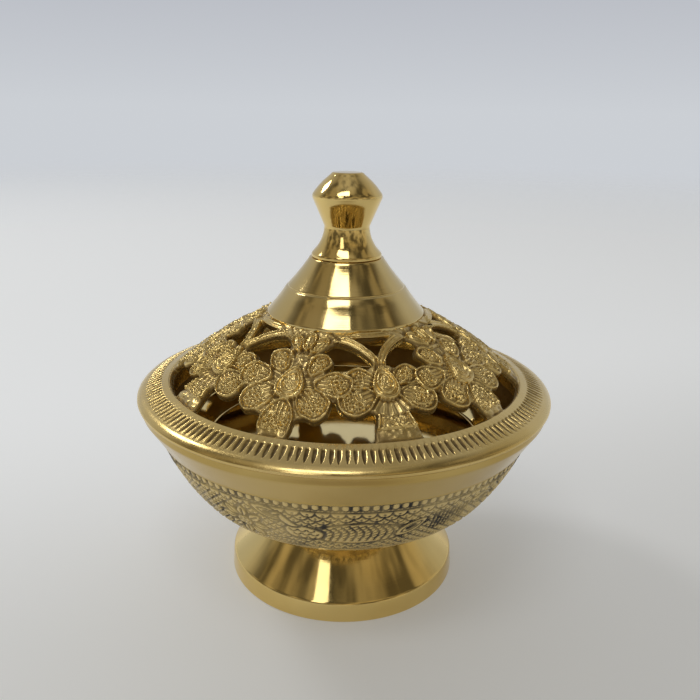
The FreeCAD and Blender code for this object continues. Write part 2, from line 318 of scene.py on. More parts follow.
class Nodes:
    """Short words for building the node tree of a material or of the world."""

    def __init__(self, owner, shader="Principled BSDF"):
        owner.use_nodes = True
        self.tree = owner.node_tree
        self.shader = self.tree.nodes[shader]

    def feed(self, node, values):
        """Sets the node's sockets to numbers and colours, or joins them to other nodes' outputs."""
        for socket, value in values.items():
            if isinstance(value, bpy.types.NodeSocket):
                self.tree.links.new(value, node.inputs[socket])
            else:
                node.inputs[socket].default_value = value + (1,) if isinstance(value, tuple) else value

    def add(self, kind, values, **settings):
        node = self.tree.nodes.new("ShaderNode" + kind)
        for word, setting in settings.items():
            setattr(node, word, setting)
        self.feed(node, values)
        return node

    def maths(self, operation, *values):
        return self.add("Math", dict(enumerate(values)), operation=operation).outputs[0]

    def clouds(self, place, scale, detail=2.0, rough=0.5):
        values = {"Vector": place, "Scale": scale, "Detail": detail, "Roughness": rough}
        return self.add("TexNoise", values).outputs["Fac"]

    def ranged(self, value, low, high, to_low=0.0, to_high=1.0, shape="SMOOTHSTEP"):
        values = dict(enumerate((value, low, high, to_low, to_high)))
        return self.add("MapRange", values, interpolation_type=shape).outputs[0]

    def blend(self, share, first, second):
        return self.add("Mix", {0: share, 6: first, 7: second}, data_type="RGBA").outputs[2]

    def ramp(self, value, stops):
        """Colours from (position, colour) stops."""
        node = self.add("ValToRGB", {0: value})
        marks = node.color_ramp.elements
        marks[0].position, marks[0].color = stops[0][0], stops[0][1] + (1,)
        marks[1].position, marks[1].color = stops[-1][0], stops[-1][1] + (1,)
        for position, colour in stops[1:-1]:
            marks.new(position).color = colour + (1,)
        return node.outputs[0]

    def split(self, vector):
        return self.add("SeparateXYZ", {0: vector}).outputs

    def length(self, x, y):
        return self.maths("SQRT", self.maths("MULTIPLY_ADD", x, x, self.maths("MULTIPLY", y, y)))

    def places(self):
        """Object position in metres, and (radius, height) as a vector."""
        position = self.add("TexCoord", {}).outputs["Object"]
        x, y, z = self.split(position)
        return position, self.add("CombineXYZ", {0: self.length(x, y), 1: z}).outputs[0]

    def bump(self, height, distance, strength):
        values = {"Height": height, "Distance": distance, "Strength": strength}
        return self.add("Bump", values).outputs["Normal"]


CAST_BRASS = (0.79, 0.60, 0.25)
WORN_CAST = (0.70, 0.51, 0.18)


def brass(name, gloss, tone, worn, turning=0, cast=0, grime=None, residue_and_shade=None, dull=0.4):
    """Brass with drifting colour and uneven gloss, and with turning rings or a cast skin.

    The grime argument names a mesh attribute that marks residue, and on the engraving and the pierced dome
    painted shade as well; dull is how far that hides the metal.
    """
    material = bpy.data.materials.new(name)
    n = Nodes(material)
    position, turned = n.places()
    colour = n.blend(n.ranged(n.clouds(position, 45, 3.0), 0.35, 0.7), tone, worn)
    roughness = n.ranged(n.clouds(position, 260, 4.0, 0.6), 0.3, 0.75, gloss * 0.8, gloss * 1.35)
    metal = 1.0
    if turning:
        rings = n.clouds(turned, 1900, 3.0, 0.7)
        roughness = n.maths("MULTIPLY_ADD", n.maths("SUBTRACT", rings, 0.5), gloss * 0.8, roughness)
        normal = n.bump(rings, 0.00003, turning)
    else:
        normal = n.bump(n.clouds(position, 1500, 4.0, 0.65), 0.00025, cast)
    if grime:
        mark = n.add("Attribute", {}, attribute_name=grime).outputs["Fac"]
        patchy = n.maths("MULTIPLY", mark, n.ranged(n.clouds(position, 700, 3.0), 0.25, 0.6, 0.75, 1.0))
        colour = n.blend(patchy, colour, residue_and_shade)
        roughness = n.maths("MULTIPLY_ADD", patchy, 0.35, roughness)
        metal = n.maths("MULTIPLY_ADD", patchy, -dull, 1.0)
    n.feed(n.shader, {"Base Color": colour, "Roughness": roughness, "Metallic": metal, "Normal": normal})
    return material


def steel(name):
    """Zinc-plated steel for the fasteners."""
    material = bpy.data.materials.new(name)
    n = Nodes(material)
    position, turned = n.places()
    dull = n.clouds(position, 400, 4.0, 0.6)
    n.feed(n.shader, {
        "Base Color": n.blend(n.ranged(dull, 0.3, 0.7), (0.60, 0.60, 0.58), (0.38, 0.37, 0.34)),
        "Roughness": n.ranged(dull, 0.3, 0.75, 0.22, 0.5),
        "Normal": n.bump(n.clouds(turned, 2500, 2.0), 0.00003, 0.3),
        "Metallic": 1.0,
    })
    return material


TURNED = brass("turned_brass", 0.10, (0.72, 0.56, 0.25), (0.66, 0.49, 0.19), turning=0.25)
POLISHED = brass("polished_brass", 0.08, (0.81, 0.61, 0.24), (0.75, 0.54, 0.19), turning=0.12)
# Painted shade: the bowl's brass is darker and more saturated than the foot's, so that its plain band reads
# dark; the soot mark darkens its inside.
SHADED_SOOTY_BRASS = brass("shaded_sooty_brass", 0.17, (0.62, 0.45, 0.16), (0.56, 0.39, 0.12), turning=0.2,
               grime="soot", residue_and_shade=(0.24, 0.11, 0.03))
# Painted light: the dish's brass is brighter than the rest, so that it reads bright under the pierced lid.
DISH = brass("dish_brass", 0.06, (0.94, 0.77, 0.38), (0.88, 0.70, 0.31), turning=0.03)
CARVED = brass("carved_brass", 0.18, CAST_BRASS, WORN_CAST, cast=0.25,
               grime="grime", residue_and_shade=(0.13, 0.075, 0.025))
MILLED = brass("milled_brass", 0.22, CAST_BRASS, WORN_CAST, turning=0.15,
               grime="grime", residue_and_shade=(0.13, 0.085, 0.03))
ENGRAVED = brass("engraved_brass", 0.24, (0.74, 0.58, 0.27), CAST_BRASS, cast=0.12,
                 grime="grime", residue_and_shade=(0.014, 0.015, 0.020), dull=0.8)
STEEL = steel("plated_steel")


# ---- foot, bowl and dish

def foot():
    turned_piece("foot_shell", [
        (FOOT_RADIUS - WALL * 1.5, 0),
        (FOOT_RADIUS, 0),
        (FOOT_RADIUS - WALL / 5, FOOT_BAND, -FOOT_BEND),
        (NECK_RADIUS, FOOT_TOP - WALL / 2),
        (NECK_RADIUS, FOOT_TOP),
        (BOLT_HOLE, FOOT_TOP),
        (BOLT_HOLE, FOOT_TOP - 3),
        (NECK_RADIUS - WALL, FOOT_TOP - 3, FOOT_BEND + WALL),
        (FOOT_RADIUS - WALL * 1.5, FOOT_BAND / 2),
    ], POLISHED, "base", "foot_brass", soft=0.3, stands_for="foot")


def bowl_outline():
    return outline([
        (BOLT_HOLE, FOOT_TOP),
        (NECK_RADIUS + WALL / 4, FOOT_TOP),
        BELLY_FOOT + (BELLY_BEND,),
        BELLY + (ENGRAVING_BEND,),
        ENGRAVING_TOP,
        (BOWL_RIM, JOINT_HEIGHT - WALL * 0.8),
        (BOWL_RIM, JOINT_HEIGHT),
        (BOWL_RIM - WALL * 1.4, JOINT_HEIGHT),
        (ENGRAVING_TOP[0] - WALL, ENGRAVING_TOP[1]),
        (ENGRAVING_TOP[0] - WALL * 1.3, LEDGE_HEIGHT),
        (LEDGE_INNER, LEDGE_HEIGHT),
        (LEDGE_INNER, LEDGE_HEIGHT - WALL / 2),
        (LEDGE_INNER + WALL * 0.6, LEDGE_HEIGHT - WALL * 2, WALL - ENGRAVING_BEND),
        (BELLY[0] - WALL * 0.7, BELLY[1] + WALL * 0.75, WALL - BELLY_BEND),
        (BELLY_FOOT[0], FOOT_TOP + 3),
        (BOLT_HOLE, FOOT_TOP + 3),
    ], soft=0.16)


def bowl_body():
    """The whole bowl, sunk a little where the engraved skin lies over it."""
    line, normals = bowl_outline()
    outside = (normals[:, 0] > 0) & (line[:, 0] > ENGRAVING_LOW_RADIUS + 1) & (normals[:, 1] < 0)
    under = outside * smooth(ENGRAVING_TOP[1] - 0.3 - line[:, 1], 0, 0.3)
    under *= smooth(line[:, 0], ENGRAVING_LOW_RADIUS + 1, ENGRAVING_LOW_RADIUS + 1.6)
    line = line - normals * (under * SKIN * 1.8)[:, None]
    line, normals = thinned(line, normals, longest=2.0)
    triangles, points, facing = turned_mesh(line, normals, TURN_STEPS)
    x, y, height = points.T
    inward = -(facing[:, 0] * x + facing[:, 1] * y) / np.hypot(x, y)
    soot = 0.5 * smooth(np.maximum(inward, facing[:, 2] - 0.3), 0.1, 0.5) * (height < JOINT_HEIGHT - 0.5)
    piece("bowl_body", points, triangles, facing, SHADED_SOOTY_BRASS, "base", "bowl", "bowl_brass", soot=soot)


def dish():
    sheet = 1.2
    floor_radius = 34.5
    low = bottom("charcoal_dish")
    turned_piece("charcoal_dish_polished", [
        (0, low),
        (floor_radius, low),
        (LEDGE_INNER - sheet / 2, LEDGE_HEIGHT),
        (reach("charcoal_dish"), LEDGE_HEIGHT),
        (reach("charcoal_dish"), LEDGE_HEIGHT + sheet),
        (LEDGE_INNER - sheet, LEDGE_HEIGHT + sheet),
        (floor_radius - sheet / 2, low + sheet),
        (0, low + sheet),
    ], DISH, "dish", "dish_brass", closed=False, stands_for="charcoal_dish")


# ---- engraved skin of the bowl

ENGRAVED_PANELS = 3
PANEL_LENGTH = 88.0  # along the belly, where the radius is about 42 mm
ENGRAVING_START = -42.0
ENGRAVED_DEEP = 27.0
SKIN_STEP = 0.2
SKIN_COLUMNS = 440  # of each panel


def through(points, closed=False, steps=7):
    """A smooth line through a few points."""
    points = np.array(points, float)
    if closed:
        points = np.concatenate([points[-1:], points, points[:2]])
    else:
        points = np.concatenate([2 * points[:1] - points[1:2], points, 2 * points[-1:] - points[-2:-1]])
    share = np.arange(steps)[:, None] / steps
    line = []
    for before, start, end, after in zip(points, points[1:], points[2:], points[3:]):
        line.append(start + 0.5 * share * ((end - before) + share * (
            2 * before - 5 * start + 4 * end - after + share * (3 * (start - end) + after - before))))
    return np.concatenate(line + [points[-2:-1]])


class Plate:
    """The engraved strip laid flat: mm along it, and mm down from its upper edge."""

    GRAIN = 0.1

    def __init__(self):
        self.columns = round(ENGRAVED_PANELS * PANEL_LENGTH / self.GRAIN)
        self.depth = np.zeros((round(ENGRAVED_DEEP / self.GRAIN), self.columns))

    def patch(self, line, margin):
        """Index arrays and mm places of the cells round a line."""
        low = np.floor((line.min(0) - margin) / self.GRAIN).astype(int)
        high = np.ceil((line.max(0) + margin) / self.GRAIN).astype(int)
        rows = np.arange(max(low[1], 0), min(high[1], len(self.depth)))
        columns = np.arange(low[0], high[0])
        x, y = np.meshgrid(columns * self.GRAIN, rows * self.GRAIN)
        return np.ix_(rows, columns % self.columns), x, y

    def cut(self, line, width=0.26, depth=0.42):
        """Engraves an open line of points."""
        line = np.array(line, float)
        for start, end in zip(line, line[1:]):
            cells, x, y = self.patch(np.array([start, end]), width * 3)
            if x.size:
                gap, _ = stroke(x, y, [start, end + 1e-6])
                groove = -depth * 1.15 * ridge(gap, 0, width * 1.25)
                self.depth[cells] = np.minimum(self.depth[cells], groove)

    def dot(self, x, y, width=0.3, depth=0.36):
        self.cut([(x - 0.02, y), (x + 0.02, y)], width, depth)

    def clear(self, line):
        """Makes the inside of a closed line plain again."""
        cells, x, y = self.patch(line, 0)
        inside = np.zeros(x.shape, bool)
        for (ax, ay), (bx, by) in zip(line, np.roll(line, -1, 0)):
            if ay != by:
                crosses = (ay > y) != (by > y)
                inside ^= crosses & (x < (bx - ax) * (y - ay) / (by - ay) + ax)
        self.depth[cells] = np.where(inside, 0.0, self.depth[cells])

    def figure(self, line, width=0.24, depth=0.42):
        """A plain shape with an engraved edge."""
        self.clear(line)
        self.cut(np.concatenate([line, line[:1]]), width, depth)


def placed(points, x, y, heading=0.0, size=1.0):
    """Points (along, across) turned so that along points to the heading, then moved."""
    turn = math.radians(heading)
    along, across = (np.array(points, float) * size).T
    return np.stack([x + along * math.cos(turn) - across * math.sin(turn),
                     y + along * math.sin(turn) + across * math.cos(turn)], 1)


def arch(x, y, radius, step, end=180, tall=1.0):
    """Points round a middle, from 0 to end degrees."""
    turns = [math.radians(degrees) for degrees in range(0, end + 1, step)]
    return [(x + radius * math.cos(turn), y + radius * math.sin(turn) * tall) for turn in turns]


def leaf(plate, x, y, length, width, heading, eye=False):
    """Almond leaf from its stalk end, with a vein and slanting cuts or a dark eye."""
    def here(points):
        return placed(points, x, y, heading)

    edge = [(0, 0), (0.3, 0.42), (0.65, 0.40), (1, 0), (0.65, -0.40), (0.3, -0.42)]
    shape = [(along * length, across * width) for along, across in edge]
    plate.figure(here(through(shape, closed=True)))
    if eye:
        inner = [(0.2 * length + along * length * 0.62, across * width * 0.55) for along, across in edge]
        plate.cut(here(through(inner, closed=True)), 0.2, 0.3)
        for share in (0.42, 0.5, 0.58):
            plate.dot(*here([(share * length, 0)])[0], 0.5, 0.5)
    else:
        plate.cut(here([(0.06 * length, 0), (0.92 * length, 0)]), 0.18, 0.3)
        for share in np.arange(0.2, 0.8, 1.1 / length):
            for side in (-1, 1):
                end = ((share + 0.1) * length, side * width * 0.27)
                plate.cut(here([(share * length, 0), end]), 0.16, 0.28)


def flower(plate, x, y, size, petals, turn):
    """A round flower of pointed petals with a dotted heart."""
    for petal_number in range(petals):
        heading = turn + 360 * petal_number / petals
        edge = [(0.28, 0), (0.6, 0.24), (1, 0), (0.6, -0.24)]
        plate.figure(placed(through(edge, closed=True), x, y, heading, size), 0.32, 0.5)
        plate.cut(placed([(0.42, 0), (0.78, 0)], x, y, heading, size), 0.22, 0.4)
    plate.figure(placed(arch(0, 0, 0.32, 30, 330), x, y, 0, size))
    for heading in range(0, 360, 60):
        plate.dot(*placed([(0.17, 0)], x, y, heading, size)[0])
    plate.dot(x, y)


def scales(plate, x0, x1, y0, y1, size=1.5):
    """Rows of small overlapping scallops with a dot in each."""
    for row, y in enumerate(np.arange(y0, y1, size * 0.8)):
        for x in np.arange(x0 + size * (row % 2), x1, size * 2):
            plate.cut(arch(x, y, size, 30, tall=0.95), 0.2, 0.34)
            plate.dot(x, y + size * 0.35, 0.24, 0.28)


def bird(plate, x, y, size):
    """A strutting bird that faces left, with a long feathered tail."""
    def here(points):
        return placed(points, x, y, 0, size)

    tail = [(2, 1), (9, -4.2), (20, -5.5), (31, -2.0), (35, 1.8), (28, 5.6), (16, 7.2), (6, 5.4)]
    plate.figure(here(through(tail, closed=True)), 0.28, 0.45)
    for along in np.arange(5, 32, 2.4):
        lean = [(along, -3.9 + 0.012 * (along - 18) ** 2), (along + 2.2, 0.2), (along + 1.0, 5.2)]
        plate.cut(here(through(lean)), 0.22, 0.4)
        for step in np.arange(-3.4, 5, 1.7):
            plate.cut(here([(along + 0.6, step), (along + 2.4, step - 1.0)]), 0.17, 0.32)
    body = [(-6, -0.5), (-3.5, -3.2), (1.5, -2.8), (6.5, 0.2), (5.5, 4.2), (0.5, 5.6), (-4.5, 3.8)]
    plate.figure(here(through(body, closed=True)), 0.26, 0.45)
    for row in range(3):
        for column in range(3):
            feather = arch(-3.0 + column * 2.8 + row % 2, -0.8 + row * 2.2, 1.2, 36)
            plate.cut(here(feather), 0.17, 0.34)
    neck = [(-3.6, -2.0), (-6.4, -4.6), (-7.2, -7.0), (-9.4, -6.6), (-8.4, -8.6), (-6.2, -8.8),
            (-4.6, -7.0), (-2.6, -4.4), (-0.6, -2.6)]
    plate.figure(here(through(neck, closed=True)), 0.24, 0.42)
    plate.dot(*here([(-6.6, -7.6)])[0], 0.28, 0.4)


def engraved_plate():
    """One long strip: a lobed border, then flowers, birds and leaves on a ground of scales."""
    plate = Plate()
    length = ENGRAVED_PANELS * PANEL_LENGTH
    scales(plate, 0, length, 3.4, 18.4)
    pitch = 1.9
    for lobe in range(round(length / pitch)):
        x = lobe * pitch
        plate.cut([(x, 0.7), (x, 1.5), (x, 2.1)], 0.28, 0.46)
        for ends, bulge in ((1.9, 2.35), (0.8, 0.4)):
            edge = [(x + 0.1, ends), (x + pitch / 2, bulge), (x + pitch - 0.1, ends)]
            plate.cut(through(edge), 0.18, 0.3)
    for y in (2.9, 19.4):
        plate.cut([(x, y) for x in np.arange(0, length + 1, 4.0)], 0.22, 0.4)
    for panel in range(ENGRAVED_PANELS):
        left = panel * PANEL_LENGTH
        flower(plate, left + 8.0, 11.6, 6.4, petals=8, turn=10)
        leaf(plate, left + 12.0, 3.6, 8.5, 4.0, 24, eye=True)
        leaf(plate, left + 14.0, 16.6, 8.0, 3.4, 8)
        bird(plate, left + 22.4, 10.4, 0.68)
        leaf(plate, left + 42.6, 12.8, 8.5, 4.4, -42, eye=True)
        for stem in range(9):
            x = left + 50.6 + stem * 1.05
            plate.cut([(x, 6.4), (x + 0.5, 12.6)], 0.26, 0.42)
        leaf(plate, left + 60.0, 6.2, 8.5, 3.6, 12, eye=True)
        leaf(plate, left + 71.0, 15.6, 8.5, 3.8, -172)
        leaf(plate, left + 70.0, 9.0, 9.5, 4.4, -20, eye=True)
        for stem in range(9):
            x = left + 76.0 + stem * 1.15
            plate.cut([(x, 12.0 + 0.3 * (stem % 2)), (x + 0.5, 17.6)], 0.24, 0.4)
        leaf(plate, left + 80.5, 7.6, 6.0, 3.0, 40)
    for petal_number in range(round(length / 8)):
        x = petal_number * 8.0 + 4.0
        edge = [(x, 20.2), (x + 3.1, 23.2), (x + 3.4, 26.9), (x - 3.4, 26.9), (x - 3.1, 23.2)]
        plate.figure(through(edge, closed=True))
        leaf(plate, x, 26.4, 5.0, 2.8, -90)
    return plate


def engraved_skin():
    """The plate wrapped round the bowl, in three panels that meet edge to edge."""
    plate = engraved_plate()
    line, normals = bowl_outline()
    outside = (normals[:, 0] > 0.1) & (line[:, 0] > ENGRAVING_LOW_RADIUS) & (line[:, 1] < ENGRAVING_TOP[1])
    line, normals = line[outside], normals[outside]
    far = np.concatenate([[0], np.cumsum(np.linalg.norm(np.diff(line, axis=0), axis=1))])
    rows = round(far[-1] / SKIN_STEP) + 1
    place = np.linspace(0, far[-1], rows)
    line, normals = (np.stack([np.interp(place, far, column) for column in values.T], 1)
                     for values in (line, normals))
    down = far[-1] - place
    edges = 1 - smooth(np.minimum(down, place), 0.0, 0.4)
    row = np.clip(down / plate.GRAIN, 0, len(plate.depth) - 1.001)
    j = np.floor(row).astype(int)
    t = (row - j)[:, None]
    columns = np.arange(-2, SKIN_COLUMNS + 3)
    a, b, c, d = grid_cells(rows, len(columns))
    for panel in range(ENGRAVED_PANELS):
        share = panel + columns / SKIN_COLUMNS
        angle = share * 360 / ENGRAVED_PANELS + ENGRAVING_START
        along = share * PANEL_LENGTH / plate.GRAIN
        i = np.floor(along).astype(int)
        s = along - i
        upper, lower = (plate.depth[np.ix_(j + below, i % plate.columns)] * (1 - s)
                        + plate.depth[np.ix_(j + below, (i + 1) % plate.columns)] * s for below in (0, 1))
        depth = upper * (1 - t) + lower * t
        x, y = np.meshgrid(along * plate.GRAIN, down)
        wear = 0.75 + 0.35 * noise(x, y, 9.0, 5)
        lift = depth * wear * 1.1 + 0.03 * noise(x, y, 2.0, 6) - 0.4 * edges[:, None]
        points = around(angle, line[:, :1] + normals[:, :1] * lift, line[:, 1:] + normals[:, 1:] * lift)
        triangles = halves(a, b, c, d)
        facing = mesh_normals(points, triangles)
        middle = np.tile(columns, rows)[triangles].mean(1)
        triangles = triangles[(middle > 0) & (middle < SKIN_COLUMNS)]
        # Painted shade: just under the rim's overhang the engraving darkens, most on the left and right a
        # quarter turn from the front; noise mixes real dirt into it.
        painted_shade_near_top = smooth(-y, -9.0, -2.0) * (0.45 + 0.55 * np.cos(np.radians(angle * 2 + 180))[None, :])
        dirt_and_shade = 0.62 + 0.4 * noise(x, y, 13.0, 8) + 0.3 * noise(x, y, 3.0, 9) + 0.35 * painted_shade_near_top
        grime = smooth(-depth, 0.06, 0.26) * np.clip(dirt_and_shade, 0.45, 1)
        stain_and_shade = smooth(noise(x, y, 2.6, 11) + 0.6 * noise(x, y, 0.9, 12) + 0.9 * painted_shade_near_top, 0.55, 1.1)
        grime = np.maximum(grime, 0.85 * stain_and_shade * smooth(painted_shade_near_top, 0.2, 0.8))
        triangles, points, facing, grime = only_used(triangles, points, facing, grime.ravel())
        piece("bowl_engraving_%d" % (panel + 1), points, triangles, facing, ENGRAVED, "base", "bowl",
              "bowl_brass", grime=grime)


# ---- brim of the lid with its milled cuts

CUT_DEPTH = 0.4
CUT_HALF_WIDTH = 0.30  # as a share of the way from cut to cut


def milled_cuts(angle, radius, height):
    """Depth of the gouged cuts round the brim: round at the inner end, running out to a point."""
    share = (radius - MILLING_INNER[0]) / (MILLING_OUTER[0] - MILLING_INNER[0])
    turn = angle * MILLING_CUTS / 360
    cut = np.floor(turn).astype(int) % MILLING_CUTS
    wander = np.random.default_rng(7).random((3, MILLING_CUTS))
    across = np.abs(turn - np.floor(turn) - 0.5 + (wander[0][cut] - 0.5) * 0.12)
    ends = np.clip(share, 0, 1)
    taper = np.clip((1 - ends) / (0.4 + 0.3 * wander[1][cut]), 0, 1) ** 0.6
    half = CUT_HALF_WIDTH * np.sqrt(np.clip(ends / 0.08, 0, 1)) * taper
    depth = CUT_DEPTH * (0.85 + 0.3 * wander[2][cut])
    visible = (height > MILLING_OUTER[1] - 1.5) & (share > 0) & (share < 1)
    return np.where(visible, depth * smooth(half - across, -0.08, 0.20) * smooth(1 - ends, 0, 0.2), 0)


def near_cuts(radius, height):
    return height > MILLING_OUTER[1] - 0.3 and MILLING_INNER[0] - 0.4 < radius < MILLING_OUTER[0] + 0.3


def brim():
    """The lid's edge, with the ring under it that keeps the lid central on the bowl."""
    ring_outer = BOWL_RIM - WALL * 1.4 - 1.6
    ring_bottom = bottom("lid_dome")
    line, normals = outline([
        (ring_outer - WALL, ring_bottom),
        (ring_outer, ring_bottom),
        (ring_outer, JOINT_HEIGHT),
        (BRIM_RADIUS - BRIM_EDGE / 2, JOINT_HEIGHT),
        (BRIM_RADIUS, JOINT_HEIGHT + BRIM_EDGE / 2),
        (BRIM_RADIUS, JOINT_HEIGHT + BRIM_EDGE, BRIM_EDGE * 3),
        MILLING_OUTER,
        MILLING_INNER,
        (MOUTH_RADIUS + 0.3, COLLAR[1] - 0.1),
        (MOUTH_RADIUS - 0.4, COLLAR[1] - DOME_WALL * 0.85),
        (ring_outer - WALL, JOINT_HEIGHT),
    ], soft=0.14)
    line, normals = thinned(line, normals, longest=2.0, sharpest=14, fine=near_cuts, fine_step=0.26)
    triangles, points, facing, depth = turned_mesh(line, normals, MILLING_CUTS * 10, sink=milled_cuts)
    piece("lid_brim", points, triangles, facing, MILLED, "lid", "lid_dome", "lid_brass",
          grime=smooth(depth, 0.04, 0.26))


# ---- pierced dome

SLOPE = math.atan2(CROWN[1] - COLLAR[1], COLLAR[0] - CROWN[0])
DOME_BULGE = math.hypot(CROWN[1] - COLLAR[1], COLLAR[0] - CROWN[0]) ** 2 / 8 / DOME_BEND


def on_motif(angle, radius, middle):
    """Place on the unrolled dome about a motif's middle: mm to its right, mm towards the crown."""
    far = radius / math.cos(SLOPE)
    turn = np.radians((angle - middle + 180) % 360 - 180) * math.cos(SLOPE)
    return far * np.sin(turn), MOTIF_RADIUS / math.cos(SLOPE) - far * np.cos(turn)


def on_dome(angle, radius, lift):
    """Points over the dome's plain surface, in mm."""
    share = (COLLAR[0] - radius) / (COLLAR[0] - CROWN[0])
    bulge = DOME_BULGE * 4 * share * (1 - share) + lift
    height = COLLAR[1] + (CROWN[1] - COLLAR[1]) * share + bulge * math.cos(SLOPE)
    return around(angle, radius + bulge * math.sin(SLOPE), height)


def petal(x, y, middle, half_length, half_width, heading, flare=0.3):
    """(mm inside the edge, place along, place across) of an egg-shaped petal, wide at its far end."""
    sine, cosine = math.sin(math.radians(heading)), math.cos(math.radians(heading))
    x, y = x - middle[0], y - middle[1]
    along = (x * sine + y * cosine) / half_length
    across = x * cosine - y * sine
    width = half_width * np.clip(1 + flare * along, 0.35, 2)
    inside = (1 - np.hypot(along, across / width)) * half_width
    return inside, along, across


def petal_relief(inside, along, across, grain, seed):
    """A raised bead round the edge, a groove inside it, and a pitted middle with lines at the root."""
    body = 0.28 + 0.34 * ridge(inside, 0.30, 0.20) - 0.46 * ridge(inside, 0.68, 0.17)
    filled = smooth(inside, 0.72, 1.0)
    pitted = smooth(grain, 0.15, 0.6)
    root = smooth(-along, -0.05, 0.45) * filled
    lines = 0.5 + 0.5 * np.cos(across * 2 * math.pi / 0.95 + seed)
    return body + filled * 0.75 * (pitted - 0.45) * (1 - root) + root * 0.5 * (lines - 0.6)


FILLET = 1.1


class Relief:
    """The carved surface: how far a place is inside the metal, and how high the carving stands there."""

    def __init__(self, shape):
        self.inside = np.full(shape, -9.0)
        self.lift = np.zeros(shape)

    def lay(self, inside, lift, edge=0.28):
        """Lays a shape over what is there, with a groove along its edge."""
        over = smooth(inside, -0.05, 0.18)
        groove = 0.35 * ridge(inside, -0.08, edge) * smooth(self.inside, 0.1, 0.6)
        self.lift = (self.lift - groove) * (1 - over) + lift * over
        fillet = np.clip(FILLET - np.abs(self.inside - inside), 0, None)
        self.inside = np.maximum(self.inside, inside) + fillet ** 2 / FILLET / 4


VINE = ((0.6, 28.6), (1.2, 26.2), (3.6, 24.5), (7.4, 22.9), (12.5, 21.7), (19.0, 20.9), (28.0, 20.4))


def lay_vines(relief, angle, radius, middle):
    """The two stems that leave a lower motif's tip and sweep round under the spire."""
    for side in (-1, 1):
        route = [on_motif(middle + side * away, out, middle) for away, out in VINE]
        x, y = on_motif(angle, radius, middle)
        gap, progress = stroke(x, y, route)
        half = 0.9 + 0.35 * progress
        inside = half - gap
        raised = 0.3 + 0.5 * progress + 0.25 * ridge(inside, 0.22, 0.2)
        relief.lay(inside, raised - 0.3 * ridge(gap, half * 0.4, 0.14))


# Petals on each side of a motif: middle, half length, half width and heading
LOWER_PETALS = (((6.5, -2.9), 4.4, 3.5, 108), ((4.6, 2.4), 3.5, 2.6, 58))
UPPER_PETALS = (((5.9, -3.9), 4.4, 3.5, 124), ((8.6, 1.5), 4.1, 3.2, 80), ((4.3, 5.7), 3.5, 2.4, 24))
BUDS = (((-2.5, 11.0), -26), ((2.5, 11.0), 26), ((0, 11.6), 0))
PIT_SIZE = 0.62


def lay_disc(relief, x, y, radius, drop, rays, rays_drop):
    """The disc that shows between the petals, with fine rays."""
    relief.lay(radius - np.hypot(x, y + drop), 0.1 + 0.16 * np.cos(np.arctan2(x, y + rays_drop) * rays))


def lay_petals(relief, x, y, petals, grain, seed, spread):
    """Petals on both sides with uneven edges; spread makes the lines of the two sides differ."""
    for side in (-1, 1):
        for (out, up), length, width, heading in petals:
            inside, along, across = petal(x, y, (side * out, up), length, width, side * heading)
            inside = inside + 0.3 * noise(x, y, 2.0, seed)
            relief.lay(inside, petal_relief(inside, along, across, grain, seed + spread * side))


def lay_heart(relief, x, y, grain, up, half_width, flare, height, groove):
    """The ringed teardrop in the middle, with a pitted core."""
    inside, _, _ = petal(x, y, (0, up), 4.4, half_width, 180, flare)
    relief.lay(inside, height + 0.25 * ridge(inside, 0.35, 0.22) - groove * ridge(inside, 0.75, 0.15)
               + 0.3 * ridge(inside, 1.15, 0.22) - 0.3 * ridge(inside, 1.5, 0.15)
               + smooth(inside, 1.6, 1.8) * 0.3 * (smooth(grain, 0.18, 0.55) - 0.4))


def lay_lower_motif(relief, angle, radius, middle, seed):
    """A flower that stands on the brim on a fan-shaped foot."""
    x, y = on_motif(angle, radius, middle)
    grain = grains(x, y, PIT_SIZE, seed)
    fan_half = 2.2 + np.clip(-2.5 - y, 0, 9) * 0.30
    slant = (fan_half - np.abs(x)) * 0.9
    fan = np.minimum(slant, np.minimum(-1.5 - y, y + 14.5))
    step = smooth(-y, 9.9, 10.3)
    bead = 0.42 * ridge(slant, 0.42, 0.27) - 0.30 * ridge(slant, 0.92, 0.2) + 0.35 * ridge(-y, 9.75, 0.22)
    pitted = smooth(slant, 0.95, 1.3) * 0.42 * (smooth(grain, 0.18, 0.55) - 0.45)
    relief.lay(fan, (0.25 + bead + pitted) * (1 - step) + step * (0.1 + 0.12 * noise(x, y, 0.8, seed)))
    lay_disc(relief, x, y, 6.4, 0.9, 20, 0.6)
    lay_petals(relief, x, y, LOWER_PETALS, grain, seed, 0)
    lay_heart(relief, x, y, grain, 0.9, 2.7, 0.5, 0.45, 0.35)


